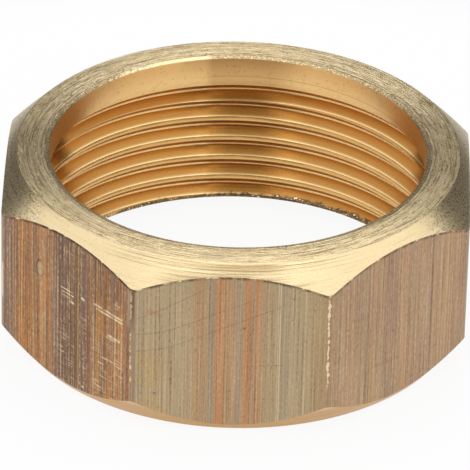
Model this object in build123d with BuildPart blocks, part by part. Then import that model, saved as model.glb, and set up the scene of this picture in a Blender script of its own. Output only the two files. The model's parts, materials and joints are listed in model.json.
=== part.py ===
"""Union nut: an eight sided nut turned from drawn bar, with an inward collar at
the top and a G 1 1/4 pipe thread that is open at the bottom. Sizes are in
millimetres. The origin is the centre of the open face, and +Z runs along the
bore towards the collar."""
import math
import os

from build123d import *

# thread
thread_major_diameter = 41.91
thread_pitch = 2.309
thread_depth = 0.955
flank_angle = 27.5
root_width = 0.5
thread_start_drop = 2.882

# drawn bar
flat_wall = 2.045
flat_count = 8
corner_radius = 1.2

# turned outside, each end cone's width measured at the middle of a flat
height = 18.55
top_cone_width = 0.95
top_cone_angle = 45.0
bottom_cone_width = 0.65
bottom_cone_angle = 51.5

# collar
collar_lip = 1.3
collar_thickness = 2.75
rim_chamfer_width = 0.45
rim_chamfer_depth = 0.15

# run-out groove at the thread's inner end, and countersink at its open end
runout_drop = 2.35
runout_clearance = 0.04
mouth_clearance = 1.245
mouth_cone_angle = 60.0

# the groove cutters and the countersink reach this far past the metal
cutter_overlap = 0.3

# derived sizes
thread_radius = thread_major_diameter / 2
land_radius = thread_radius - thread_depth
collar_radius = land_radius - collar_lip
flat_radius = thread_radius + flat_wall
top_face_radius = flat_radius - top_cone_width
bottom_face_radius = flat_radius - bottom_cone_width
mouth_radius = thread_radius + mouth_clearance
flank_slope = math.tan(math.radians(flank_angle))
top_cone_slope = math.tan(math.radians(top_cone_angle))
bottom_cone_slope = math.tan(math.radians(bottom_cone_angle))
mouth_slope = math.tan(math.radians(mouth_cone_angle))
mouth_back_radius = land_radius - cutter_overlap
mouth_back_height = (mouth_radius - mouth_back_radius) / mouth_slope
collar_base = height - collar_thickness
runout_height = collar_base - runout_drop
blank_radius = flat_radius / math.cos(math.pi / flat_count)
top_cone_base = height - (blank_radius - top_face_radius) * top_cone_slope
bottom_cone_top = (blank_radius - bottom_face_radius) * bottom_cone_slope


def groove_outline(centre, clearance):
    """One thread groove in radius and height: a flat root between two flanks."""
    root_radius = thread_radius + clearance
    root_half = root_width / 2 + clearance
    back_radius = land_radius - cutter_overlap
    back_half = root_half + (root_radius - back_radius) * flank_slope
    Polyline(
        (root_radius, centre - root_half),
        (root_radius, centre + root_half),
        (back_radius, centre + back_half),
        (back_radius, centre - back_half),
        close=True,
    )


with BuildPart() as nut:
    # eight sided bar with slightly round corners
    with BuildSketch(Plane.XY) as bar:
        RegularPolygon(
            radius=flat_radius,
            side_count=flat_count,
            major_radius=False,
            rotation=180 / flat_count,
        )
        fillet(bar.vertices(), radius=corner_radius)
    extrude(amount=height)

    # turned section: both faces and end cones, the collar and the bore
    with BuildSketch(Plane.XZ):
        with BuildLine():
            Polyline(
                (land_radius, 0),
                (bottom_face_radius, 0),
                (blank_radius, bottom_cone_top),
                (blank_radius, top_cone_base),
                (top_face_radius, height),
                (collar_radius + rim_chamfer_width, height),
                (collar_radius, height - rim_chamfer_depth),
                (collar_radius, collar_base),
                (land_radius, collar_base),
                close=True,
            )
        make_face()
    revolve(axis=Axis.Z, mode=Mode.INTERSECT)

    # right hand thread, one groove swept from below the open face to the run-out
    with BuildLine() as helix:
        Helix(
            pitch=thread_pitch,
            height=thread_start_drop + runout_height,
            radius=thread_radius,
            center=(0, 0, -thread_start_drop),
        )
    with BuildSketch(Plane.XZ):
        with BuildLine():
            groove_outline(-thread_start_drop, 0)
        make_face()
    sweep(path=helix.line, is_frenet=True, mode=Mode.SUBTRACT)

    # run-out groove, where the thread ends below the collar
    with BuildSketch(Plane.XZ):
        with BuildLine():
            groove_outline(runout_height, runout_clearance)
        make_face()
    revolve(axis=Axis.Z, mode=Mode.SUBTRACT)

    # countersink at the open face, cut through the first turn of the thread
    with BuildSketch(Plane.XZ):
        with BuildLine():
            Polyline(
                (mouth_radius, 0),
                (mouth_back_radius, mouth_back_height),
                (mouth_back_radius, -cutter_overlap),
                (mouth_radius, -cutter_overlap),
                close=True,
            )
        make_face()
    revolve(axis=Axis.Z, mode=Mode.SUBTRACT)

nut.part.label = "nut"

os.makedirs("parts", exist_ok=True)
export_step(nut.part, "parts/nut.step")
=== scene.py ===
"""Union nut in brass: a nut turned from drawn eight sided bar, with its pipe thread,
worn edges and weathered flats. Meshes are modelled in millimetres, with the open
face at z = 0 and the bore along +Z, and scaled to metres when they are finished."""
import functools
import json
import math
from types import SimpleNamespace

import bmesh
import bpy
from bpy.props import FloatProperty, FloatVectorProperty, IntProperty
from mathutils import Matrix, Vector, geometry


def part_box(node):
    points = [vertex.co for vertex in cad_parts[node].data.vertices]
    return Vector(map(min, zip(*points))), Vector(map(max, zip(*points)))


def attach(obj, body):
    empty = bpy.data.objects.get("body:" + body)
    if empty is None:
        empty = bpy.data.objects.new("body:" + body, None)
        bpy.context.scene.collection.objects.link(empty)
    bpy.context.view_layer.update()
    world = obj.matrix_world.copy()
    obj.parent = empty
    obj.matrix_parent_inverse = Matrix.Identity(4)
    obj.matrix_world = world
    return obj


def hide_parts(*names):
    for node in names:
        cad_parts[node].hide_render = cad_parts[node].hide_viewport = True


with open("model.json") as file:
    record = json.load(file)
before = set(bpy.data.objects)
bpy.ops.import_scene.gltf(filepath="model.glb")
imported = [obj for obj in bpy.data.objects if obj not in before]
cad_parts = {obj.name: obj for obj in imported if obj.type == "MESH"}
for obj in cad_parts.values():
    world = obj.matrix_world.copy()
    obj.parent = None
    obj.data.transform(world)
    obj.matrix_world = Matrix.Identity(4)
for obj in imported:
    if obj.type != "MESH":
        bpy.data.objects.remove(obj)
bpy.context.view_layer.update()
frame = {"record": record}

bl_info = {
    "name": "Union nut",
    "version": (1, 0, 0),
    "blender": (4, 5, 0),
    "location": "View3D > Sidebar > Union nut",
    "description": "Models a threaded brass union nut and its studio",
    "category": "Object",
}

NUT_LOW, NUT_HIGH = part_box("nut")
MOUNTS = {mount["name"]: mount for mount in frame["record"]["mounts"]}
MM = 0.001

# the nut's sides, and the turn from a flat's middle to its corner
SIDES = 8
HALF_SIDE = math.pi / SIDES

# points nearer than this are one point, in millimetres
SAME_POINT = 1e-3

# roughness of every noise, and the colour Mix node's two colour sockets and its output
NOISE_ROUGHNESS = 0.6
MIX_UNDER, MIX_OVER, MIX_OUT = 6, 7, 2

# material slots of every mesh, after the first one, which holds the flats' finish
TURNED, BORE = 1, 2

# soft boxes: name, azimuth and elevation in degrees, width and height in metres, and
# share of the lamps' radiance
LAMP_DISTANCE = 0.5
LAMPS = (
    ("left soft box", -76, 40, 0.78, 0.56, 1.0),
    ("right soft box", 73, 40, 0.76, 0.56, 1.1),
    ("front soft box", -8, 58, 0.34, 0.36, 0.35),
    ("overhead soft box", 180, 74, 0.36, 0.76, 1.85),
)

# tones laid over the turned faces and cones, as linear colours, among them painted glints
DULL_FACE = (0.50, 0.39, 0.22)
TOOL_MARK = (0.17, 0.12, 0.06)
SWEPT_CONE = (0.46, 0.33, 0.16)
GRAIN_DARK = (0.30, 0.215, 0.10)
GRAIN_PALE = (1.0, 0.88, 0.62)
RIM_ROUGH = (0.20, 0.14, 0.07)
RIM_GLINT = (0.98, 0.88, 0.62)
FACE_NICK = (0.08, 0.05, 0.02)
EDGE_NICK = (0.25, 0.17, 0.07)
EDGE_GLINT = (1.0, 0.88, 0.56)
LOWER_CONE = (0.56, 0.29, 0.075)

# nicks of the face and of its outer edge: start and end in x and y, and width, in mm
FACE_NICKS = (
    ((-3.9, 18.7), (-3.7, 19.4), 0.16), ((-3.9, 18.7), (-4.2, 18.8), 0.12),
    ((-12.2, 14.7), (-12.0, 15.3), 0.16),
)
EDGE_NICKS = (
    ((17.9, -12.5), (18.0, -12.9), 0.3), ((18.4, -12.0), (18.5, -12.5), 0.26),
    ((20.4, -8.3), (20.4, -8.5), 0.4), ((19.6, -10.2), (19.6, -10.4), 0.4),
)

# tool marks on the upper cone in front: radius, width and strength
CONE_MARKS = ((22.30, 0.09, 1.0), (22.55, 0.07, 0.7), (22.85, 0.06, 0.5), (22.1, 0.1, 0.5))

# tones laid over the bore, among them painted shade, a painted reflection and painted highlights
COLLAR_WALL = (0.98, 0.66, 0.29)
COLLAR_SHADE = (0.58, 0.33, 0.11)
FLANK = (0.52, 0.26, 0.07)
FLANK_SHADE = (0.40, 0.18, 0.04)
DEEP_FLANK = (0.50, 0.185, 0.028)
PAINTED_WARM_REFLECTION = (0.85, 0.40, 0.09)
ROOT_HIGHLIGHT = (1.0, 0.78, 0.38)
LAND = (0.74, 0.44, 0.15)
CREST_HIGHLIGHT = (1.0, 0.80, 0.46)
BORE_MARK = (0.30, 0.17, 0.06)
LAND_TICK = (0.14, 0.08, 0.03)
TORN_DARK = (0.08, 0.05, 0.03)
TORN_GLINT = (1.0, 0.84, 0.54)

# tones laid over the flats, among them a painted shadow
HAIR_DARK = (0.15, 0.09, 0.055)
HAIR_PALE = (0.72, 0.54, 0.33)
PIT = (0.15, 0.08, 0.04)
FIRE = (0.58, 0.24, 0.05)
STEEL = (0.24, 0.19, 0.17)
RED = (0.50, 0.18, 0.07)
SOOT = (0.12, 0.08, 0.065)
AMBER = (0.58, 0.31, 0.08)
DULL_RED = (0.36, 0.23, 0.16)
DROP = (0.50, 0.38, 0.20)
DROP_RIM = (0.10, 0.07, 0.04)
WARM = (0.46, 0.28, 0.15)
RED_BAND = (0.56, 0.24, 0.10)
BROWN_EDGE = (0.43, 0.29, 0.15)
OCHRE_STAIN = (0.5, 0.33, 0.13)
RED_STAIN = (0.42, 0.2, 0.12)
SCRATCH = (0.14, 0.10, 0.07)
GOLD = (0.56, 0.40, 0.20)
SMUDGE = (0.2, 0.14, 0.10)
RUBBED_CORNER = (0.36, 0.22, 0.13)
PALE_CORNER = (0.50, 0.38, 0.25)
PAINTED_ARC_SHADOW = (0.08, 0.045, 0.025)

# streaks of the left flat: each tone's place from 0 to 1, and the tone
LEFT_STREAKS = (
    (0.20, (0.17, 0.12, 0.10)), (0.36, (0.24, 0.13, 0.08)), (0.5, (0.36, 0.19, 0.10)),
    (0.64, (0.47, 0.24, 0.10)), (0.8, (0.42, 0.30, 0.19)),
)

# knocks on the left flat: start and end across and up it, and width
KNOCKS = (
    ((4.2, 11.8), (8.0, 11.7), 0.34), ((4.5, 11.4), (8.1, 11.35), 0.34),
    ((6.2, 9.15), (7.7, 9.1), 0.45), ((5.9, 8.85), (7.2, 8.85), 0.2),
    ((-0.7, 11.6), (0.9, 11.6), 0.2), ((-0.5, 11.2), (1.1, 11.2), 0.24),
    ((-0.6, 10.85), (0.9, 10.8), 0.1), ((0.45, 12.6), (0.5, 10.7), 0.1),
    ((0.7, 10.5), (1.1, 10.45), 0.45), ((2.35, 11.6), (2.6, 11.55), 0.45),
    ((7.35, 13.5), (7.4, 12.6), 0.12), ((6.9, 13.05), (7.8, 13.05), 0.12),
    ((-0.4, 15.9), (1.0, 15.9), 0.08), ((2.3, 1.5), (2.6, 1.5), 0.3),
)

# upright bands of the front flat: centre across it, width and strength
RED_BANDS = (
    (-3.55, 0.18, 0.45), (-2.95, 0.3, 0.35), (-1.1, 0.85, 0.8), (-0.5, 0.9, 0.4),
    (0.3, 0.22, 0.5), (1.62, 0.8, 0.7), (2.58, 0.62, 0.8),
)
GREY_BANDS = (
    (-1.9, 0.55, 0.55), (0.8, 0.6, 0.5), (2.15, 0.2, 0.4), (4.95, 0.3, 0.5),
    (5.4, 0.5, 0.4), (-8.9, 0.7, 0.3),
)
PALE_LINES = (
    (4.55, 0.1, 0.6), (4.75, 0.12, 0.85), (5.6, 0.1, 0.4), (8.07, 0.1, 0.5),
    (7.18, 0.3, 0.35), (-9.0, 0.12, 0.4),
)

# rising scratches of the front flat: height of their level start, how far left of the
# middle they turn upwards, their slope, how gently they turn, and their right end
RISING_SCRATCHES = (
    (12.2, 9.0, 0.30, 1.5, 0.0), (10.75, 7.0, 0.235, 1.5, 4.0),
    (8.84, 7.0, 0.235, 1.5, 7.0),
)


class NutSizes(bpy.types.PropertyGroup):
    """Sizes of the nut in metres, the main ones read from the frame."""
    flat_radius: FloatProperty(
        name="Flat radius", description="From the axis to a flat",
        default=(NUT_HIGH.x - NUT_LOW.x) / 2, unit="LENGTH")
    height: FloatProperty(
        name="Height", description="From the open face to the collar's face",
        default=NUT_HIGH.z - NUT_LOW.z, unit="LENGTH")
    land_radius: FloatProperty(
        name="Land radius", description="Inner radius of the thread",
        default=MOUNTS["thread"]["dims"]["r_mm"] * MM, unit="LENGTH")
    collar_radius: FloatProperty(
        name="Collar radius", description="Radius of the smooth bore in the collar",
        default=MOUNTS["collar"]["dims"]["r_mm"] * MM, unit="LENGTH")
    seat_height: FloatProperty(
        name="Seat height", description="Height of the collar's underside",
        default=MOUNTS["seat"]["pos_m"][2], unit="LENGTH")
    corner_radius: FloatProperty(
        name="Corner radius", description="Rounding between two flats",
        default=1.2 * MM, unit="LENGTH")
    top_cone_width: FloatProperty(
        name="Top cone width", description="Width of the upper cone at a flat's middle",
        default=0.95 * MM, unit="LENGTH")
    bottom_cone_width: FloatProperty(
        name="Bottom cone width", description="Width of the lower cone at a flat's middle",
        default=0.65 * MM, unit="LENGTH")
    top_cone_angle: FloatProperty(
        name="Top cone angle", description="Slope of the upper cone from the level",
        default=math.radians(45), subtype="ANGLE")
    bottom_cone_angle: FloatProperty(
        name="Bottom cone angle", description="Slope of the lower cone from the level",
        default=math.radians(51.5), subtype="ANGLE")
    rim_width: FloatProperty(
        name="Rim width", description="Width of the shallow chamfer at the collar's rim",
        default=0.45 * MM, unit="LENGTH")
    rim_depth: FloatProperty(
        name="Rim depth", description="Depth of the shallow chamfer at the collar's rim",
        default=0.15 * MM, unit="LENGTH")
    thread_radius: FloatProperty(
        name="Thread radius", description="Radius at the root of the thread",
        default=20.955 * MM, unit="LENGTH")
    pitch: FloatProperty(
        name="Pitch", description="Rise of the thread in one turn",
        default=2.309 * MM, unit="LENGTH")
    root_width: FloatProperty(
        name="Root width", description="Straight part at the bottom of the groove",
        default=0.05 * MM, unit="LENGTH")
    root_radius: FloatProperty(
        name="Root radius", description="Rounding at the bottom of the groove",
        default=0.15 * MM, unit="LENGTH")
    crest_radius: FloatProperty(
        name="Crest radius", description="Rounding where a flank meets the land",
        default=0.15 * MM, unit="LENGTH")
    flank_angle: FloatProperty(
        name="Flank angle", description="Slope of a flank from the level",
        default=math.radians(42), subtype="ANGLE")
    runout_height: FloatProperty(
        name="Run-out height", description="Middle of the groove that ends the thread",
        default=13.65 * MM, unit="LENGTH")
    runout_azimuth: FloatProperty(
        name="Run-out azimuth", description="Where the thread meets its run-out groove, from +X",
        default=math.radians(26.36), subtype="ANGLE")
    mouth_radius: FloatProperty(
        name="Mouth radius", description="Wide end of the countersink",
        default=22.2 * MM, unit="LENGTH")
    mouth_angle: FloatProperty(
        name="Mouth angle", description="Slope of the countersink from the axis",
        default=math.radians(60), subtype="ANGLE")
    edge_wear: FloatProperty(
        name="Edge wear", description="Width of the soft edge worn on every corner",
        default=0.07 * MM, unit="LENGTH")
    columns: IntProperty(
        name="Columns", description="Divisions round the nut", default=360, min=24)


class BrassColours(bpy.types.PropertyGroup):
    """Colours of the turned metal and of the weathered flats."""
    turned: FloatVectorProperty(
        name="Turned brass", description="Freshly cut metal of the end faces and cones",
        default=(0.87, 0.69, 0.405), subtype="COLOR", min=0, max=1)
    bore: FloatVectorProperty(
        name="Bore brass", description="Cut metal of the collar's wall and the thread",
        default=(0.77, 0.48, 0.18), subtype="COLOR", min=0, max=1)
    patina: FloatVectorProperty(
        name="Patina", description="Grey green beige film on the drawn flats",
        default=(0.46, 0.355, 0.215), subtype="COLOR", min=0, max=1)
    tan: FloatVectorProperty(
        name="Tan", description="Pinkish brown film on the drawn flats",
        default=(0.50, 0.315, 0.18), subtype="COLOR", min=0, max=1)
    rust: FloatVectorProperty(
        name="Rust", description="Orange red streaks of the drawn flats",
        default=(0.48, 0.19, 0.075), subtype="COLOR", min=0, max=1)
    umber: FloatVectorProperty(
        name="Umber", description="Dark red brown streaks of the drawn flats",
        default=(0.22, 0.11, 0.065), subtype="COLOR", min=0, max=1)
    slate: FloatVectorProperty(
        name="Slate", description="Blue grey streaks of the drawn flats",
        default=(0.34, 0.29, 0.225), subtype="COLOR", min=0, max=1)
    bare: FloatVectorProperty(
        name="Bare brass", description="Pale metal laid open by scratches and knocks",
        default=(0.85, 0.68, 0.42), subtype="COLOR", min=0, max=1)


class StudioLook(bpy.types.PropertyGroup):
    """Where the camera stands, and how bright the studio is."""
    azimuth: FloatProperty(
        name="Camera azimuth", description="Camera's turn round the nut, from the front flat",
        default=math.radians(0.798), subtype="ANGLE")
    elevation: FloatProperty(
        name="Camera elevation", description="Camera's height above the level",
        default=math.radians(30.891), subtype="ANGLE")
    roll: FloatProperty(
        name="Camera roll", description="Camera's tilt about its own line of sight",
        default=math.radians(1.310), subtype="ANGLE")
    distance: FloatProperty(
        name="Camera distance", description="From the camera to the point it looks at",
        default=0.54823, unit="LENGTH")
    focal_length: FloatProperty(
        name="Focal length", description="Lens of a 36 mm wide camera",
        default=419.15, unit="CAMERA")
    aim: FloatVectorProperty(
        name="Aim", description="Point that the camera looks at",
        default=(-0.000138, 0.0, 0.008574), subtype="XYZ", unit="LENGTH")
    lamp_radiance: FloatProperty(
        name="Lamp radiance", description="Brightness of the soft boxes' faces", default=1.0)
    sky: FloatProperty(
        name="Room brightness", description="Brightness of the room round the soft boxes",
        default=0.12)


def own_properties(group):
    """The properties that a group itself declares."""
    return [p for p in group.bl_rna.properties if p.identifier not in ("rna_type", "name")]


def in_millimetres(group):
    """A plain copy of a property group, with its lengths in millimetres."""
    copy = SimpleNamespace()
    for prop in own_properties(group):
        value = getattr(group, prop.identifier)
        setattr(copy, prop.identifier, value / MM if prop.unit == "LENGTH" else value)
    return copy


def finish_mesh(name, bm):
    """Turns a bmesh into a new object in the scene, in millimetres still."""
    bmesh.ops.recalc_face_normals(bm, faces=bm.faces)
    mesh = bpy.data.meshes.new(name)
    bm.to_mesh(mesh)
    bm.free()
    thing = bpy.data.objects.new(name, mesh)
    bpy.context.scene.collection.objects.link(thing)
    return thing


def wire(bm, points):
    """A closed loop of edges through points of radius and height, at y = 0."""
    verts = [bm.verts.new((radius, 0, height)) for radius, height in points]
    return [bm.edges.new(pair) for pair in zip(verts, verts[1:] + verts[:1])]


def spin_eighths(bm, s, count, rise=0.0):
    """Spins a bmesh's outline through an eighth of a turn and repeats that eighth, in
    all rising by the given height in a turn."""
    about_z = {"axis": (0, 0, 1), "cent": (0, 0, 0)}
    eighth, steps = math.tau / 8, s.columns // 8
    bmesh.ops.spin(
        bm, geom=bm.verts[:] + bm.edges[:], angle=eighth, steps=steps,
        dvec=(0, 0, rise / 8 / steps), use_merge=False, use_duplicate=False, **about_z)
    bmesh.ops.spin(
        bm, geom=bm.verts[:] + bm.edges[:] + bm.faces[:], angle=eighth * (count - 1),
        steps=count - 1, dvec=(0, 0, rise / 8), use_duplicate=True, **about_z)
    bmesh.ops.remove_doubles(bm, verts=bm.verts, dist=SAME_POINT)


def make_bar(s):
    """The drawn bar: eight flats with slightly round corners, a little longer than the
    nut at both ends."""
    spare = 1
    bm = bmesh.new()
    made = bmesh.ops.create_circle(
        bm, cap_ends=True, segments=SIDES, radius=s.flat_radius / math.cos(HALF_SIDE))
    bmesh.ops.rotate(bm, verts=made["verts"], matrix=Matrix.Rotation(HALF_SIDE, 3, "Z"))
    top = bmesh.ops.extrude_face_region(bm, geom=bm.faces[:])
    raised = [v for v in top["geom"] if isinstance(v, bmesh.types.BMVert)]
    bmesh.ops.translate(bm, verts=raised, vec=(0, 0, s.height + 2 * spare))
    bmesh.ops.translate(bm, verts=bm.verts, vec=(0, 0, -spare))
    upright = [e for e in bm.edges if abs(e.verts[0].co.z - e.verts[1].co.z) > s.height]
    bmesh.ops.bevel(
        bm, geom=upright, offset=s.corner_radius * math.tan(HALF_SIDE),
        offset_type="OFFSET", affect="EDGES", segments=6, profile=0.5, material=-1)
    return finish_mesh("bar", bm)


def groove_section(s, centre):
    """A groove of the thread, from the land below it to the land above it, with a round
    root and round crests."""
    slope = math.tan(s.flank_angle)
    turn = math.pi / 2 - s.flank_angle
    middle, half = s.thread_radius - s.root_radius, s.root_width / 2
    steps = 4
    root = [(middle + s.root_radius * math.cos(angle), half + s.root_radius * math.sin(angle))
            for angle in (turn * i / steps for i in range(steps + 1))]
    tangent = s.crest_radius * math.tan(turn / 2)
    corner = root[-1][1] + (root[-1][0] - s.land_radius) * slope
    start = Vector((
        s.land_radius + tangent * math.cos(s.flank_angle),
        corner - tangent * math.sin(s.flank_angle)))
    crest = geometry.interpolate_bezier(
        start, start.lerp(Vector((s.land_radius, corner)), 0.6),
        Vector((s.land_radius, corner + tangent * 0.4)),
        Vector((s.land_radius, corner + tangent)), steps + 1)
    upper = root + [tuple(point) for point in crest]
    lower = [(radius, -height) for radius, height in reversed(upper)]
    return [(radius, centre + height) for radius, height in lower + upper]


def make_turned(s):
    """Everything turned on the lathe but the thread, as one solid of revolution."""
    top_slope, bottom_slope = math.tan(s.top_cone_angle), math.tan(s.bottom_cone_angle)
    past_corner = 0.2
    corner = s.flat_radius / math.cos(HALF_SIDE) + past_corner
    top_face = s.flat_radius - s.top_cone_width
    bottom_face = s.flat_radius - s.bottom_cone_width
    mouth_top = (s.mouth_radius - s.land_radius) / math.tan(s.mouth_angle)
    runout = groove_section(s, s.runout_height)
    points = [
        (s.mouth_radius, 0),
        (bottom_face, 0),
        (corner, (corner - bottom_face) * bottom_slope),
        (corner, s.height - (corner - top_face) * top_slope),
        (top_face, s.height),
        (s.collar_radius + s.rim_width, s.height),
        (s.collar_radius, s.height - s.rim_depth),
        (s.collar_radius, s.seat_height),
        (s.land_radius, s.seat_height),
        *reversed(runout),
        (s.land_radius, mouth_top),
    ]
    bm = bmesh.new()
    wire(bm, points)
    spin_eighths(bm, s, 8)
    bmesh.ops.recalc_face_normals(bm, faces=bm.faces)
    least_edge = math.radians(17)
    edges = [e for e in bm.edges if e.calc_face_angle() > least_edge]
    bmesh.ops.bevel(
        bm, geom=edges, offset=s.edge_wear, offset_type="OFFSET", affect="EDGES",
        segments=2, profile=0.5, material=-1, clamp_overlap=True)
    return finish_mesh("turned", bm)


def make_tap(s):
    """The thread's groove as a solid, wound up from below the open face. Its back
    stands off the land, inside the bore."""
    turns, off_land = 7, 0.3
    section = groove_section(s, s.runout_height - turns * s.pitch)
    back = s.land_radius - off_land
    bm = bmesh.new()
    wire(bm, [(back, section[0][1]), *section, (back, section[-1][1])])
    bmesh.ops.rotate(
        bm, verts=bm.verts, matrix=Matrix.Rotation(s.runout_azimuth, 3, "Z"))
    spin_eighths(bm, s, turns * 8, rise=s.pitch)
    open_ends = [e for e in bm.edges if e.is_boundary]
    bmesh.ops.holes_fill(bm, edges=open_ends, sides=0)
    return finish_mesh("tap", bm)


def cut(thing, tool, operation):
    """Applies one boolean to a mesh and removes the tool."""
    modifier = thing.modifiers.new(operation, "BOOLEAN")
    modifier.operation = operation
    modifier.solver = "EXACT"
    modifier.object = tool
    apply_modifiers(thing)
    bpy.data.objects.remove(tool)


def apply_modifiers(thing):
    """Replaces a mesh with what its modifiers make of it."""
    graph = bpy.context.evaluated_depsgraph_get()
    made = bpy.data.meshes.new_from_object(thing.evaluated_get(graph), depsgraph=graph)
    thing.modifiers.clear()
    thing.data = made


class Shade:
    """A socket of a material's nodes, on which plain arithmetic adds Math nodes."""

    def __init__(self, tree, socket=None):
        self.tree = tree
        self.socket = socket

    def node(self, kind, settings=None, sockets=None, out=0):
        """Adds any node: first its settings, then its sockets' values or links."""
        node = self.tree.nodes.new("ShaderNode" + kind)
        settings = dict(settings or {})
        stops = settings.pop("stops", ())
        for name, value in settings.items():
            setattr(node, name, value)
        for i, (position, colour) in enumerate(stops):
            elements = node.color_ramp.elements
            element = elements[i] if i < len(elements) else elements.new(position)
            element.position = position
            element.color = (*colour, 1)
        for name, value in (sockets or {}).items():
            socket = node.inputs[name]
            if isinstance(value, Shade):
                self.tree.links.new(value.socket, socket)
            elif socket.type == "RGBA":
                socket.default_value = (*value, 1)
            else:
                socket.default_value = value
        return Shade(self.tree, node.outputs[out] if node.outputs else None)

    def maths(self, operation, *values, clamp=False):
        """Adds one Math node."""
        return self.node(
            "Math", {"operation": operation, "use_clamp": clamp}, dict(enumerate(values)))

    def __add__(self, other):
        return self.maths("ADD", self, other)

    def __sub__(self, other):
        return self.maths("SUBTRACT", self, other)

    def __rsub__(self, other):
        return self.maths("SUBTRACT", other, self)

    def __mul__(self, other):
        return self.maths("MULTIPLY", self, other)

    def __truediv__(self, other):
        return self.maths("DIVIDE", self, other)

    def __abs__(self):
        return self.maths("ABSOLUTE", self)

    def __gt__(self, other):
        return self.maths("GREATER_THAN", self, other)

    def __lt__(self, other):
        return self.maths("LESS_THAN", self, other)

    __radd__ = __add__
    __rmul__ = __mul__

    def clamp(self):
        """The value, but never under 0 or over 1."""
        return self.maths("ADD", self, 0.0, clamp=True)

    def most(self, other):
        """The greater of two values."""
        return self.maths("MAXIMUM", self, other)

    def ramp(self, low, high):
        """Runs smoothly from 0 at low to 1 at high, or back where low is the greater."""
        if low > high:
            return 1 - self.ramp(high, low)
        return self.node(
            "MapRange", {"interpolation_type": "SMOOTHSTEP"},
            {"Value": self, "From Min": low, "From Max": high})

    def band(self, centre, width):
        """1 along a line, smoothly down to 0 half the width away from it."""
        return abs(self - centre).ramp(width / 2, 0.0)

    def mix(self, factor, under, over):
        """Adds one colour Mix node, with a factor from 0 to 1."""
        sockets = {0: factor, MIX_UNDER: under, MIX_OVER: over}
        return self.node("Mix", {"data_type": "RGBA"}, sockets, out=MIX_OUT)


def greatest(values):
    """The greatest of many values."""
    return functools.reduce(Shade.most, values)


class Surface:
    """What a finish of the nut is painted with: places on it, in millimetres, and a
    shader that takes them up."""

    def __init__(self, name, **plain):
        self.material = bpy.data.materials.new(name)
        self.material.use_nodes = True
        tree = self.material.node_tree
        tree.nodes.clear()
        self.pen = pen = Shade(tree)
        place = pen.node("TexCoord", out="Object")
        self.place = pen.node(
            "VectorMath", {"operation": "SCALE"}, {0: place, "Scale": 1 / MM})
        self.x, self.y, self.z = (
            pen.node("SeparateXYZ", None, {0: self.place}, out=axis) for axis in range(3))
        self.r = pen.maths("SQRT", self.x * self.x + self.y * self.y)
        self.shader = pen.node("BsdfPrincipled", None, {
            name.replace("_", " "): value for name, value in plain.items()})
        pen.node("OutputMaterial", None, {"Surface": self.shader})

    def feed(self, **sockets):
        """Links worked out values to the shader."""
        for name, value in sockets.items():
            socket = self.shader.socket.node.inputs[name.replace("_", " ")]
            self.pen.tree.links.new(value.socket, socket)

    def rings(self, across, along, detail=2.0, seed=0.0):
        """Tool marks round the axis, given in waves per millimetre across them and
        waves per turn along them, centred on 0."""
        vector = self.pen.node("CombineXYZ", None, {
            0: self.r * across, 1: self.z * across, 2: self.x / self.r * along})
        noise = self.pen.node("TexNoise", {"noise_dimensions": "4D"}, {
            "Vector": vector, "W": self.y / self.r * along + seed, "Scale": 1.0,
            "Detail": detail, "Roughness": NOISE_ROUGHNESS})
        return noise - 0.5

    def noise(self, across, upright=None, detail=2.0, seed=0.0):
        """Noise in waves per millimetre, stretched along the axis if upright is less,
        centred on 0."""
        upright = across if upright is None else upright
        vector = self.pen.node("VectorMath", {"operation": "MULTIPLY_ADD"}, {
            0: self.place, 1: (across, across, upright), 2: (seed, -seed, seed)})
        noise = self.pen.node("TexNoise", None, {
            "Vector": vector, "Scale": 1.0, "Detail": detail, "Roughness": NOISE_ROUGHNESS})
        return noise - 0.5

    def specks(self, across, size, share=0.2, seed=0.0):
        """Small round spots in a share of the cells of the given waves per millimetre,
        which are 1 in their middle."""
        vector = self.pen.node("VectorMath", {"operation": "MULTIPLY_ADD"}, {
            0: self.place, 1: (across, across, across), 2: (seed, seed, -seed)})
        cells = {"Vector": vector, "Scale": 1.0}
        distance = self.pen.node("TexVoronoi", None, cells)
        pick = self.pen.node("TexVoronoi", None, cells, out="Color")
        chosen = self.pen.node("SeparateColor", None, {0: pick}, out=0) > 1 - share
        return distance.ramp(size * across, 0.0) * chosen

    def lay(self, under, over, factor):
        """One colour laid over another, as far as a factor from 0 to 1 says."""
        return self.pen.mix(factor, under, over)

    def flat(self, turn):
        """Where a place lies on the flat that is turned so far from the front one: its
        distance to the right of the flat's middle, and 1 on that flat alone."""
        across = self.x * math.cos(turn) + self.y * math.sin(turn)
        out = self.x * math.sin(turn) - self.y * math.cos(turn)
        tolerance = 0.02
        return across, out > NUT_HIGH.x / MM - tolerance

    def stroke(self, across, start, end, width, up=None):
        """A short straight mark between two places across and up, where up is z unless
        it is given."""
        run, rise = end[0] - start[0], end[1] - start[1]
        length = run * run + rise * rise
        over, up = across - start[0], (up or self.z) - start[1]
        part = (over * (run / length) + up * (rise / length)).clamp()
        aside, above = over - part * run, up - part * rise
        return self.pen.maths("SQRT", aside * aside + above * above).ramp(width / 2, 0.0)

    def bump(self, height, distance):
        """Tool marks as relief, in millimetres for a height of 1."""
        self.feed(Normal=self.pen.node(
            "Bump", None, {"Height": height, "Strength": 1.0, "Distance": distance * MM}))


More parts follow.
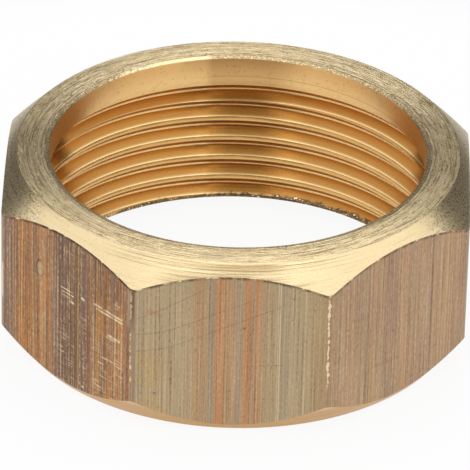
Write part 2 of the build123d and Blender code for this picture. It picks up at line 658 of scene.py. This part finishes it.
def paint_turned(s, colours):
    """Turned brass of the end faces and the cones, with its fine ring marks."""
    surface = Surface("turned brass", Metallic=1.0, Anisotropic=0.75, Anisotropic_Rotation=0.25)
    fine = surface.rings(7.0, 4.0, detail=3, seed=1)
    wide = surface.rings(1.8, 1.5, detail=4, seed=5)
    patch = surface.noise(0.12, seed=6)
    chips = surface.noise(6.0, detail=2, seed=7)
    rim_edge, outer_edge = s.collar_radius + s.rim_width, s.flat_radius - s.top_cone_width
    face = surface.z > s.height - 0.01
    rim = surface.r < rim_edge
    ahead = surface.y.ramp(-18.0, -21.5)

    # the level face is greyer than the cones, in patches
    grey = (wide * 1.2 + patch * 1.5 + 0.3) * face
    colour = surface.lay(colours.turned, DULL_FACE, grey.clamp())

    # dark ring marks: the finest ones, the rim's edge, a facing line and the cone's marks
    lines = (fine * 1.2 + wide * 0.8).ramp(0.04, 0.24) * (face * 0.4 + ahead * 0.15 + 0.15)
    edge = surface.r.band(rim_edge + 0.06, 0.18).most(surface.r.band(19.55, 0.16) * 0.75)
    marks = greatest(surface.r.band(*place) * strength for *place, strength in CONE_MARKS)
    rings = (edge * face).most(marks * ahead * (wide * 3 + 0.9).clamp())
    colour = surface.lay(colour, TOOL_MARK, lines.most(rings))
    swept = surface.rings(3.0, 1.0, detail=3, seed=11).ramp(-0.12, 0.12)
    swept = swept * ahead * surface.x.ramp(-8.0, -5.0) * surface.x.ramp(6.0, 3.0)
    colour = surface.lay(colour, SWEPT_CONE, swept * (1 - face) * 0.75)

    # grain, strongest on the face and on the cones at both sides
    grain = surface.noise(5.0, seed=2) * (1.3 - face * 0.6)
    grain = grain + surface.rings(7.0, 18.0, seed=21) * (face + 0.1)
    mottle = grain + fine * 0.5
    side = (abs(surface.x) + surface.y * 0.35).ramp(13.5, 16.0)
    share = face * (1 - ahead * 0.45) * 0.85 + side * (1 - face) * 0.8 + 0.12
    colour = surface.lay(colour, GRAIN_DARK, mottle.ramp(0.0, 0.28) * share)
    spark = mottle.ramp(0.0, -0.28) * share * (side * 0.3 + 0.65)
    colour = surface.lay(colour, GRAIN_PALE, spark)

    # the chipped rim, which is whole for a stretch at the back left, and the outer edge
    whole = surface.x.ramp(-12.6, -12.0) * surface.x.ramp(-2.6, -4.0) * (surface.y > 0)
    rough = rim * (1 - whole)
    colour = surface.lay(colour, RIM_ROUGH, rough * chips.ramp(-0.18, 0.06) * 0.75)
    # painted highlights: glints along the chipped edge of the rim and on nicks of the outer edge
    brink = surface.r.band(s.collar_radius, 0.4) * chips.ramp(-0.13, -0.18)
    colour = surface.lay(colour, RIM_GLINT, rough * brink)
    nicks = surface.r.band(outer_edge, 0.3) * chips.ramp(0.16, 0.22)
    colour = surface.lay(colour, RIM_GLINT, nicks * (surface.z > s.height - 0.3))
    colour = surface.lay(colour, TOOL_MARK, surface.specks(0.6, 0.14, 0.12, seed=3))
    for start, end, width in FACE_NICKS:
        nick = surface.stroke(surface.x, start, end, width, up=surface.y) * face
        colour = surface.lay(colour, FACE_NICK, nick)
    for start, end, width in EDGE_NICKS:
        nick = surface.stroke(surface.x, start, end, width, up=surface.y)
        nick = nick * (surface.z > s.height - 0.5)
        colour = surface.lay(colour, EDGE_NICK, nick.ramp(0.0, 0.3))
        # the middle of each nick is a painted highlight
        colour = surface.lay(colour, EDGE_GLINT, nick.ramp(0.3, 0.6))

    colour = surface.lay(colour, LOWER_CONE, surface.z.ramp(4.0, 2.0) * 0.9)
    surface.feed(Base_Color=colour, Roughness=face * 0.06 + rim * 0.1 + wide * 0.1 + 0.30)
    surface.bump((fine + wide * 0.6) * (face * 0.6 + ahead * 0.3 + 0.3) + grain * 0.12, 0.08)
    return surface.material


def paint_bore(s, colours):
    """Cut brass of the collar's wall, the seat and the thread."""
    surface = Surface("bore brass", Metallic=1.0, Anisotropic=0.92, Anisotropic_Rotation=0.25)
    fine = surface.rings(6.0, 8.0, seed=2)
    sand = surface.noise(3.5, detail=2, seed=4)
    azimuth = surface.pen.maths("ARCTAN2", surface.y, surface.x)
    outward = surface.r - s.land_radius

    # the collar's wall is paler than the thread; a band in the middle of the back gets painted
    # shade, on the collar here and on the thread below
    smooth = surface.z > s.runout_height + 0.9
    dim = surface.x.ramp(-4.0, -2.8) * surface.x.ramp(6.5, 2.5) * (surface.y > 0)
    colour = surface.lay(colours.bore, COLLAR_WALL, smooth)
    colour = surface.lay(colour, COLLAR_SHADE, dim * smooth * 0.55)

    # height on the thread from the middle of the nearest groove, from -pitch/2 to pitch/2
    turns = (surface.z - s.runout_height) / s.pitch - (azimuth - s.runout_azimuth) / math.tau
    level = (surface.pen.maths("FRACT", turns + 0.5) - 0.5) * s.pitch

    # the groove is painted darker and redder with its depth, as painted shade in the recess, down
    # to a painted highlight along its root
    depth = outward.ramp(0.06, 0.3)
    deep = outward.ramp(0.35, 0.85)
    colour = surface.lay(colour, FLANK, depth)
    colour = surface.lay(colour, DEEP_FLANK, deep)
    # a painted warm reflection on the deep lower flanks in the dim band
    colour = surface.lay(colour, PAINTED_WARM_REFLECTION, deep * dim * level.ramp(-0.15, -0.25) * 0.7)
    # painted shade on the flanks in the dim band
    colour = surface.lay(colour, FLANK_SHADE, (depth - deep) * dim * 0.6)
    # a painted highlight along the root, weaker in the dim band
    root = surface.r.ramp(s.thread_radius - 0.06, s.thread_radius - 0.01)
    colour = surface.lay(colour, ROOT_HIGHLIGHT, root * (0.9 - dim * 0.5))

    # dark grain, pits and one tool line on the collar's wall
    grain = (fine * 0.4 + sand * 0.9).ramp(0.02, 0.35) * (smooth * 0.25 + 0.2)
    pits = surface.specks(0.5, 0.16, 0.15, seed=8)
    step = surface.z.band(s.seat_height + 0.55, 0.14) * surface.x.ramp(-6.0, -2.0) * 0.5
    colour = surface.lay(colour, BORE_MARK, grain.most(pits).most(step))

    # the lands between the grooves, with a painted highlight along each crest, weaker in the dim
    # band, and rows of chatter ticks
    chatter_rate = 620.0
    land = outward.ramp(0.05, 0.01) * (1 - smooth)
    crest = outward.band(0.07, 0.14) * (1 - smooth)
    colour = surface.lay(colour, LAND, land * 0.8)
    colour = surface.lay(colour, CREST_HIGHLIGHT, crest * (0.8 - dim * 0.4))
    chatter = surface.pen.maths("SINE", azimuth * chatter_rate + sand * 4.0)
    ticks = land * level.band(-1.05, 0.5) * surface.rings(0.8, 6.0, seed=9).ramp(-0.25, 0.05)
    ticks = ticks * surface.x.ramp(12.0, 4.0)
    colour = surface.lay(colour, LAND_TICK, (chatter * 0.9 + 0.3 + sand).clamp() * ticks)

    # the torn lip at the open end
    torn = (surface.noise(1.0, seed=10) * 0.8 + 1.75 - surface.z).ramp(0.0, 0.25)
    ragged = surface.noise(4.0, detail=2, seed=12)
    colour = surface.lay(colour, TORN_DARK, torn * ragged.ramp(-0.3, -0.05) * 0.9)
    colour = surface.lay(colour, TORN_GLINT, torn * ragged.ramp(0.10, 0.16))
    surface.feed(Base_Color=colour, Roughness=sand * 0.05 + smooth * 0.10 + 0.25)
    surface.bump(fine * 0.4 + sand * 0.1 + chatter * ticks * 0.2, 0.03)
    return surface.material


def paint_flats(s, colours):
    """Drawn and weathered brass of the eight flats, streaked along the bar."""
    surface = Surface("drawn brass", Metallic=1.0, Anisotropic=0.5)
    broad = surface.noise(0.55, 0.01, seed=11)
    medium = surface.noise(1.9, 0.03, detail=3, seed=12)
    fine = surface.noise(5.5, 0.05, detail=2, seed=13)
    cloud = surface.noise(0.25, seed=14)
    front_across, front = surface.flat(0.0)
    tone = broad * (0.9 - front * 0.5) + medium * (0.7 - front * 0.2) + fine * 0.9 + 0.5

    def streaks(*stops):
        """Streaks of the given tones, each at its place from 0 to 1."""
        return surface.pen.node("ValToRGB", {"stops": stops}, {0: tone})

    colour = streaks(
        (0.25, colours.slate), (0.45, colours.patina), (0.6, colours.tan), (0.8, colours.rust))
    across, left = surface.flat(-2 * HALF_SIDE)
    colour = surface.lay(colour, left_flat(surface, colours, streaks, across), left)
    colour = surface.lay(colour, front_flat(surface, colours, streaks, front_across), front)
    across, right = surface.flat(2 * HALF_SIDE)
    colour = surface.lay(colour, right_flat(surface, colours, streaks, across), right)
    colour = surface.lay(colour, colours.umber, (cloud * 1.2 + 0.1).clamp() * 0.2)

    # hair lines along the bar, dark and pale, then corners, pits, and the torn edges with a
    # painted shadow under the upper cone
    hair = surface.noise(6.0, 0.06, seed=15) + surface.noise(5.0, 2.5, seed=16) * 0.5
    colour = surface.lay(colour, HAIR_DARK, hair.ramp(0.0, 0.26) * (left * 0.35 + 0.6))
    colour = surface.lay(colour, HAIR_PALE, hair.ramp(0.0, -0.26) * (left * 0.2 + 0.55))
    colour = corners(surface, s, colours, colour)
    pits = surface.specks(0.7, 0.22, 0.14, seed=21).most(surface.specks(1.5, 0.14, 0.08, seed=22))
    colour = surface.lay(colour, PIT, pits * 0.8)
    colour = torn_edge_and_shadow(surface, s, colours, colour)
    surface.feed(Base_Color=colour, Roughness=medium * 0.2 + 0.40)
    surface.bump(fine * 0.7 + medium * 0.5, 0.02)
    return surface.material


def left_flat(surface, colours, streaks, across):
    """The reddest flat, with grey streaks and pale level scratches."""
    colour = streaks(*LEFT_STREAKS)

    # orange patches, then steely and red streaks
    fire = (surface.noise(1.2, 0.12, detail=3, seed=34) * 3 + 0.5).clamp()
    ochre = across.ramp(-8.0, -6.5) * across.ramp(-1.5, -3.0)
    fire = ochre.most(across.ramp(3.5, 5.0)) * fire
    colour = surface.lay(colour, FIRE, fire * 0.75)
    steel = surface.noise(3.2, 0.05, seed=35).ramp(0.04, 0.16)
    colour = surface.lay(colour, STEEL, steel * 0.6)
    red = surface.noise(2.4, 0.07, detail=3, seed=36).ramp(0.06, 0.18)
    colour = surface.lay(colour, RED, red * 0.5)

    # single streaks: blue grey ones, the dark field right of the middle, amber ones
    cool = (across.band(-4.5, 0.5) * 0.4).most(across.band(-3.4, 0.5) * 0.5)
    cool = cool.most(across.band(2.2, 0.3) * 0.6).most(across.band(6.8, 0.25) * 0.7)
    colour = surface.lay(colour, colours.slate, cool.most(across.band(8.1, 0.3) * 0.5))
    dark = across.ramp(-1.4, -0.6) * across.ramp(3.6, 2.6)
    dark = dark.most(across.ramp(2.5, 4.5) * surface.z.ramp(10.5, 14.5) * 0.8)
    stripe = (surface.noise(3.5, 0.05, seed=33) * 2.5 + 0.65).clamp()
    colour = surface.lay(colour, SOOT, dark * stripe * 0.75)
    amber = (across.band(1.75, 0.4) * 0.8).most(across.band(4.5, 0.3) * 0.7)
    colour = surface.lay(colour, AMBER, amber.most(across.band(-4.9, 0.35) * 0.5))
    dull = across.ramp(-7.2, -8.6).most(across.ramp(7.6, 8.8) * 0.6)
    colour = surface.lay(colour, DULL_RED, dull * 0.5)

    # a dried drop, whose left rim is the darker one
    drop_u, drop_z = (across + 3.75) / 0.5, (surface.z - 12.3) / 0.85
    drop = surface.pen.maths("SQRT", drop_u * drop_u + drop_z * drop_z)
    colour = surface.lay(colour, DROP, drop.ramp(1.0, 0.7) * 0.7)
    rim = drop.band(1.05, 0.45) * (0.7 - drop_u * 0.5).clamp()
    colour = surface.lay(colour, DROP_RIM, rim)

    # knocks, and fields of fine level scratches
    bright = greatest(surface.stroke(across, *knock) for knock in KNOCKS)
    broken = (surface.noise(2.5, 2.5, seed=32) * 3 + 0.8).clamp()
    knocks = (bright * 1.6 * broken).clamp()
    level = surface.noise(0.45, 5.5, detail=3, seed=31).ramp(0.04, 0.18)
    inner = (across.band(0.2, 3.2) * surface.z.ramp(9.5, 3.5) * 2).clamp()
    outer = across.ramp(3.0, 4.5) * across.ramp(8.6, 7.5) * surface.z.ramp(9.5, 7.0)
    column = (across.band(2.6, 1.0) * 2).clamp() * surface.z.ramp(12.0, 8.0)
    level = level * inner.most(outer * 0.9).most(column * 0.8)
    return surface.lay(colour, colours.bare, knocks.most(level * 0.8))


def front_flat(surface, colours, streaks, across):
    """The greyest flat, with a few red bands in its middle and long fine scratches."""
    colour = streaks(
        (0.0, (0.38, 0.32, 0.21)), (0.4, colours.patina), (0.7, (0.47, 0.34, 0.2)),
        (1.0, colours.tan))

    def wide_band(centre, width):
        """A band with a flat middle and soft sides."""
        return (across.band(centre, width * 1.3) * 1.6).clamp()

    # upright bands and lines
    warm = across.ramp(-4.5, -3.0) * across.ramp(4.0, 3.0)
    colour = surface.lay(colour, WARM, warm * 0.55)
    grain = surface.noise(2.6, 0.05, detail=2, seed=41) * 2.0 + 0.75
    for centre, width, amount in RED_BANDS:
        band = (wide_band(centre, width) * grain * amount).clamp()
        colour = surface.lay(colour, RED_BAND, band)
    for centre, width, amount in GREY_BANDS:
        colour = surface.lay(colour, colours.slate, wide_band(centre, width) * amount)
    for centre, width, amount in PALE_LINES:
        colour = surface.lay(colour, colours.bare, across.band(centre, width) * amount)
    colour = surface.lay(colour, BROWN_EDGE, across.ramp(6.8, 8.8) * 0.7)

    # stains at the left, low down and near the top
    stain = surface.noise(0.5, 0.5, seed=43)
    low = across.ramp(-5.0, -8.0) * surface.z.ramp(10.0, 7.0)
    colour = surface.lay(colour, OCHRE_STAIN, low * (stain * 3 + 0.5).clamp() * 0.7)
    red = surface.stroke(across, (-7.8, 13.4), (-7.2, 13.2), 1.2)
    colour = surface.lay(colour, RED_STAIN, red * 0.45)

    # three scratches that turn upwards to the right, and a level one
    def rising(height, lead, slope, turn, end):
        """One of the rising scratches."""
        run = across + lead
        rise = (run + surface.pen.maths("SQRT", run * run + turn * turn)) * slope
        return abs(surface.z - rise - height).ramp(0.06, 0.0) * across.ramp(end, end - 4.0)

    scratch = greatest(rising(*shape) for shape in RISING_SCRATCHES)
    level = surface.stroke(across, (1.5, 7.6), (5.2, 7.8), 0.1)
    return surface.lay(colour, SCRATCH, scratch.most(level) * 0.6)


def right_flat(surface, colours, streaks, across):
    """The evenest flat, pinkish tan with a few golden lines and faint smudges."""
    colour = streaks(
        (0.2, (0.38, 0.25, 0.165)), (0.45, (0.44, 0.29, 0.18)), (0.62, colours.tan),
        (0.85, (0.50, 0.30, 0.17)))
    gold = across.band(-2.6, 0.8).most(across.band(-5.0, 0.5)).most(across.band(6.6, 0.5))
    colour = surface.lay(colour, GOLD, gold * 0.5)
    smudge = surface.stroke(across, (-6.2, 11.6), (-4.4, 11.4), 0.9)
    smudge = smudge.most(surface.stroke(across, (-3.5, 5.2), (0.2, 4.9), 0.5))
    dash = surface.stroke(across, (3.4, 9.3), (4.1, 9.2), 0.14)
    ragged = (surface.noise(2.0, 2.0, seed=51) * 4 + 0.5).clamp()
    return surface.lay(colour, SMUDGE, (smudge * ragged * 0.4).most(dash * 0.6))


def corners(surface, s, colours, colour):
    """The round corners between the flats, rubbed, here and there knocked bright, and with a pale
    sliver at the far left.
    """
    girth = abs(surface.x).most(abs(surface.y))
    girth = girth.most((abs(surface.x) + abs(surface.y)) * math.sqrt(0.5))
    corner = girth.ramp(s.flat_radius - 0.005, s.flat_radius - 0.03)
    colour = surface.lay(colour, RUBBED_CORNER, corner * 0.5)
    wobble = surface.noise(0.02, 0.9, detail=3, seed=61) * 0.5
    ragged = surface.noise(0.5, 2.2, detail=3, seed=62)
    front = surface.y < 0

    # a pale sliver on the far left corner, at the edge of the view, painted in the bare brass
    # colour
    end = surface.x * math.sin(HALF_SIDE) - surface.y * math.cos(HALF_SIDE)
    sliver = end.band(0.1, 0.6) * surface.z.ramp(6.0, 7.0) * surface.z.ramp(10.8, 10.0)
    colour = surface.lay(colour, colours.bare, sliver * front)

    # a thin ragged line on the front flat's right corner
    right = surface.x * math.cos(HALF_SIDE) + surface.y * math.sin(HALF_SIDE)
    reach = surface.z.ramp(4.8, 6.2) * surface.z.ramp(17.5, 15.5)
    line = (ragged * 0.7 + 0.10 - abs(right + wobble + 0.06)).ramp(0.0, 0.05)
    colour = surface.lay(colour, colours.bare, line * corner * front * reach)

    # a dark wedge, a pale strip and a scuff on its left corner
    left = surface.x * math.cos(HALF_SIDE) - surface.y * math.sin(HALF_SIDE)
    wedge = abs(left + 0.1).ramp(0.35, 0.2) * surface.z.ramp(10.0, 14.0)
    colour = surface.lay(colour, colours.umber, wedge * corner * front * 0.9)
    strip = abs(left + 0.5 + wobble * 0.5).ramp(0.18, 0.08) * surface.z.ramp(10.0, 12.5)
    colour = surface.lay(colour, PALE_CORNER, strip * front * 0.6)
    broad = surface.z.ramp(11.5, 13.0)
    reach = surface.z.ramp(4.0, 6.0) * surface.z.ramp(16.5, 15.0)
    scuff = (ragged * 0.7 + broad * 0.12 + 0.05 - abs(left + wobble + 0.28)).ramp(0.0, 0.05)
    scuff = scuff * corner * front * reach * (0.9 - broad * 0.4)
    return surface.lay(colour, colours.bare, scuff)


def torn_edge_and_shadow(surface, s, colours, colour):
    """Bright slivers where the cones were turned off the flats, and a painted shadow under the
    upper cone's arc.
    """
    top = s.height + s.flat_radius - s.top_cone_width - surface.r - surface.z
    ragged = surface.noise(1.2, 1.2, detail=3, seed=71)
    burr = top.ramp(0.20, 0.08) * ragged.ramp(0.08, 0.14)
    left = surface.x.ramp(-9.0, -10.0) * surface.x.ramp(-21.0, -19.0)
    # painted shadow along the arc below the upper cone, darkest on the left flat
    shade = top.ramp(0.40, 0.16) * (ragged.ramp(0.05, -0.10) * 0.5 + left * 0.4 + 0.2).clamp()
    colour = surface.lay(colour, PAINTED_ARC_SHADOW, shade)
    return surface.lay(colour, colours.bare, burr)


class OBJECT_OT_union_nut(bpy.types.Operator):
    """Models the nut, with its thread, in place of its plain solid"""
    bl_idname = "object.union_nut"
    bl_label = "Nut"

    def execute(self, context):
        s = in_millimetres(context.scene.nut_sizes)
        colours = context.scene.brass_colours
        finishes = [paint(s, colours) for paint in (paint_flats, paint_turned, paint_bore)]
        nut, turned, tap = make_bar(s), make_turned(s), make_tap(s)
        for thing in (nut, turned, tap):
            for finish in finishes:
                thing.data.materials.append(finish)
        for polygon in turned.data.polygons:
            middle = polygon.center
            within = SAME_POINT < middle.z < s.height - s.rim_depth
            inside = within and middle.xy.length < s.mouth_radius
            polygon.material_index = BORE if inside else TURNED
        for polygon in tap.data.polygons:
            polygon.material_index = BORE
        cut(nut, turned, "INTERSECT")
        cut(nut, tap, "DIFFERENCE")
        nut.name = nut.data.name = "threaded_nut"
        nut.data.transform(Matrix.Scale(MM, 4))
        for polygon in nut.data.polygons:
            polygon.use_smooth = True
        sharpest_round = math.radians(25)
        nut.data.set_sharp_from_angle(angle=sharpest_round)
        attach(nut, "root")
        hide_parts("nut")
        return {"FINISHED"}


def towards(azimuth, elevation):
    """The direction to a place round the nut, with azimuth from the front flat."""
    return Vector((
        math.sin(azimuth) * math.cos(elevation), -math.cos(azimuth) * math.cos(elevation),
        math.sin(elevation)))


def add_lamp(name, azimuth, elevation, width, height, radiance):
    """A soft box that faces the nut, of the given radiance."""
    light = bpy.data.lights.new(name, "AREA")
    light.shape = "RECTANGLE"
    light.size, light.size_y = width, height
    light.energy = radiance * math.pi * width * height
    lamp = bpy.data.objects.new(name, light)
    lamp.location = towards(math.radians(azimuth), math.radians(elevation)) * LAMP_DISTANCE
    lamp.rotation_mode = "QUATERNION"
    lamp.rotation_quaternion = (-lamp.location).to_track_quat("-Z", "Y")
    bpy.context.scene.collection.objects.link(lamp)


class OBJECT_OT_nut_studio(bpy.types.Operator):
    """Sets the floor, the soft boxes, the room and the camera"""
    bl_idname = "object.nut_studio"
    bl_label = "Studio"

    def execute(self, context):
        look = context.scene.studio_look
        self.floor()
        self.room(context.scene, look)
        for *place, share in LAMPS:
            add_lamp(*place, look.lamp_radiance * share)
        self.camera(context.scene, look)
        context.scene.view_settings.view_transform = "Standard"
        return {"FINISHED"}

    def floor(self):
        """White paper, which is full white to the camera and in reflections near the
        nut, and keeps a little of the nut's shadow."""
        floor_radius = 0.3
        bm = bmesh.new()
        bmesh.ops.create_circle(bm, cap_ends=True, segments=96, radius=floor_radius)
        floor = finish_mesh("floor", bm)
        mat = bpy.data.materials.new("white paper")
        mat.use_nodes = True
        mat.node_tree.nodes.clear()
        pen = Shade(mat.node_tree)
        seen = pen.node("LightPath", out="Is Camera Ray")
        for kind in ("Is Glossy Ray", "Is Transmission Ray"):
            seen = seen.most(pen.node("LightPath", out=kind))
        place = pen.node("TexCoord", out="Object")
        reach = pen.node("VectorMath", {"operation": "LENGTH"}, {0: place}, out="Value")
        # the paper's glow fades from white near the nut to a dim grey from 6 to 16 cm out, which
        # darkens the far floor in reflections
        fade = pen.mix(reach.ramp(0.06, 0.16), (1.0, 1.0, 1.0), (0.25, 0.25, 0.25))
        glow = pen.node("Emission", None, {"Color": fade, "Strength": 1.0})
        paper = pen.node("BsdfDiffuse", None, {"Color": (0.9, 0.9, 0.9)})
        both = pen.node("MixShader", None, {0: seen * 0.92, 1: paper, 2: glow})
        pen.node("OutputMaterial", None, {"Surface": both})
        floor.data.materials.append(mat)

    def room(self, scene, look):
        """A plain white room that lights the nut faintly from all round."""
        world = bpy.data.worlds.new("room")
        world.use_nodes = True
        back = world.node_tree.nodes["Background"]
        back.inputs["Color"].default_value = (1, 1, 1, 1)
        back.inputs["Strength"].default_value = look.sky
        scene.world = world

    def camera(self, scene, look):
        """The camera at the place, turn and lens of the studio's look."""
        back = towards(look.azimuth, look.elevation)
        right = Vector((math.cos(look.azimuth), math.sin(look.azimuth), 0))
        up = back.cross(right)
        rolled_right = right * math.cos(look.roll) + up * math.sin(look.roll)
        rolled_up = back.cross(rolled_right)
        data = bpy.data.cameras.new("camera")
        data.lens = look.focal_length
        data.sensor_width = 36
        data.clip_start, data.clip_end = 0.01, 10
        camera = bpy.data.objects.new("camera", data)
        turned = Matrix((rolled_right, rolled_up, back)).transposed().to_4x4()
        camera.matrix_world = Matrix.Translation(
            Vector(look.aim) + back * look.distance) @ turned
        scene.collection.objects.link(camera)
        scene.camera = camera


class VIEW3D_PT_union_nut(bpy.types.Panel):
    """Lists the nut's sizes and the operators that make it"""
    bl_label = "Union nut"
    bl_space_type = "VIEW_3D"
    bl_region_type = "UI"
    bl_category = "Union nut"

    def draw(self, context):
        """Shows every property, and a button for each operator"""
        scene = context.scene
        for group in (scene.nut_sizes, scene.brass_colours, scene.studio_look):
            for prop in own_properties(group):
                self.layout.prop(group, prop.identifier)
        self.layout.operator("object.union_nut")
        self.layout.operator("object.nut_studio")


CLASSES = (
    NutSizes,
    BrassColours,
    StudioLook,
    OBJECT_OT_union_nut,
    OBJECT_OT_nut_studio,
    VIEW3D_PT_union_nut,
)


def register():
    """Adds the classes and their properties to Blender."""
    for cls in CLASSES:
        bpy.utils.register_class(cls)
    bpy.types.Scene.nut_sizes = bpy.props.PointerProperty(type=NutSizes)
    bpy.types.Scene.brass_colours = bpy.props.PointerProperty(type=BrassColours)
    bpy.types.Scene.studio_look = bpy.props.PointerProperty(type=StudioLook)


def unregister():
    """Takes the classes and their properties out again."""
    del bpy.types.Scene.nut_sizes
    del bpy.types.Scene.brass_colours
    del bpy.types.Scene.studio_look
    for cls in reversed(CLASSES):
        bpy.utils.unregister_class(cls)


def main():
    """Makes the nut and its studio."""
    register()
    bpy.ops.object.union_nut()
    bpy.ops.object.nut_studio()


if __name__ == "__main__":
    main()
